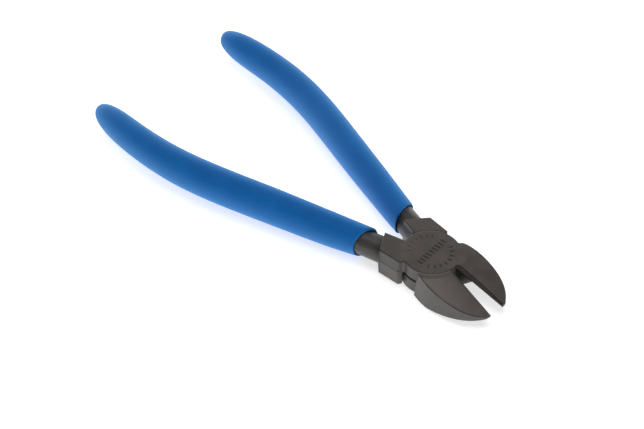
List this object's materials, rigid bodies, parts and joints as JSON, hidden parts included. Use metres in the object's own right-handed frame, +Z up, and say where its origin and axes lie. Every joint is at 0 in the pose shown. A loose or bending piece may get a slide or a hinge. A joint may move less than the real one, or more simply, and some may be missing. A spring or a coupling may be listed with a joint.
{
  "type": "diagonal cutting pliers",
  "caption": "Diagonal cutting pliers with a riveted lap joint, bevelled jaws that taper to the tips and dipped blue grips, lying flat and slightly open.",
  "frame": {"origin": "on the rivet's axis at the flat underside of the head", "axes": "+X points to the jaw tips and is the axis of symmetry of the two handles, +Y is the upper lever's jaw side, +Z is up along the rivet"},
  "size_m": [0.1585, 0.0692, 0.0136],
  "materials": {
    "steel": "dark phosphated steel",
    "rivet": "dark phosphated steel",
    "grip": "matte dipped vinyl"
  },
  "bodies": {
    "lower_half": {"lower_lever": "steel", "lower_grip": "grip"},
    "upper_half": {"upper_lever": "steel", "pivot_rivet": "rivet", "upper_grip": "grip"}
  },
  "joints": [
    {"name": "pivot", "type": "hinge", "parent": "lower_half", "child": "upper_half", "pos_m": [0, 0, 0.005], "axis": [0, 0, 1], "range_deg": [-10.5, 28]}
  ]
}
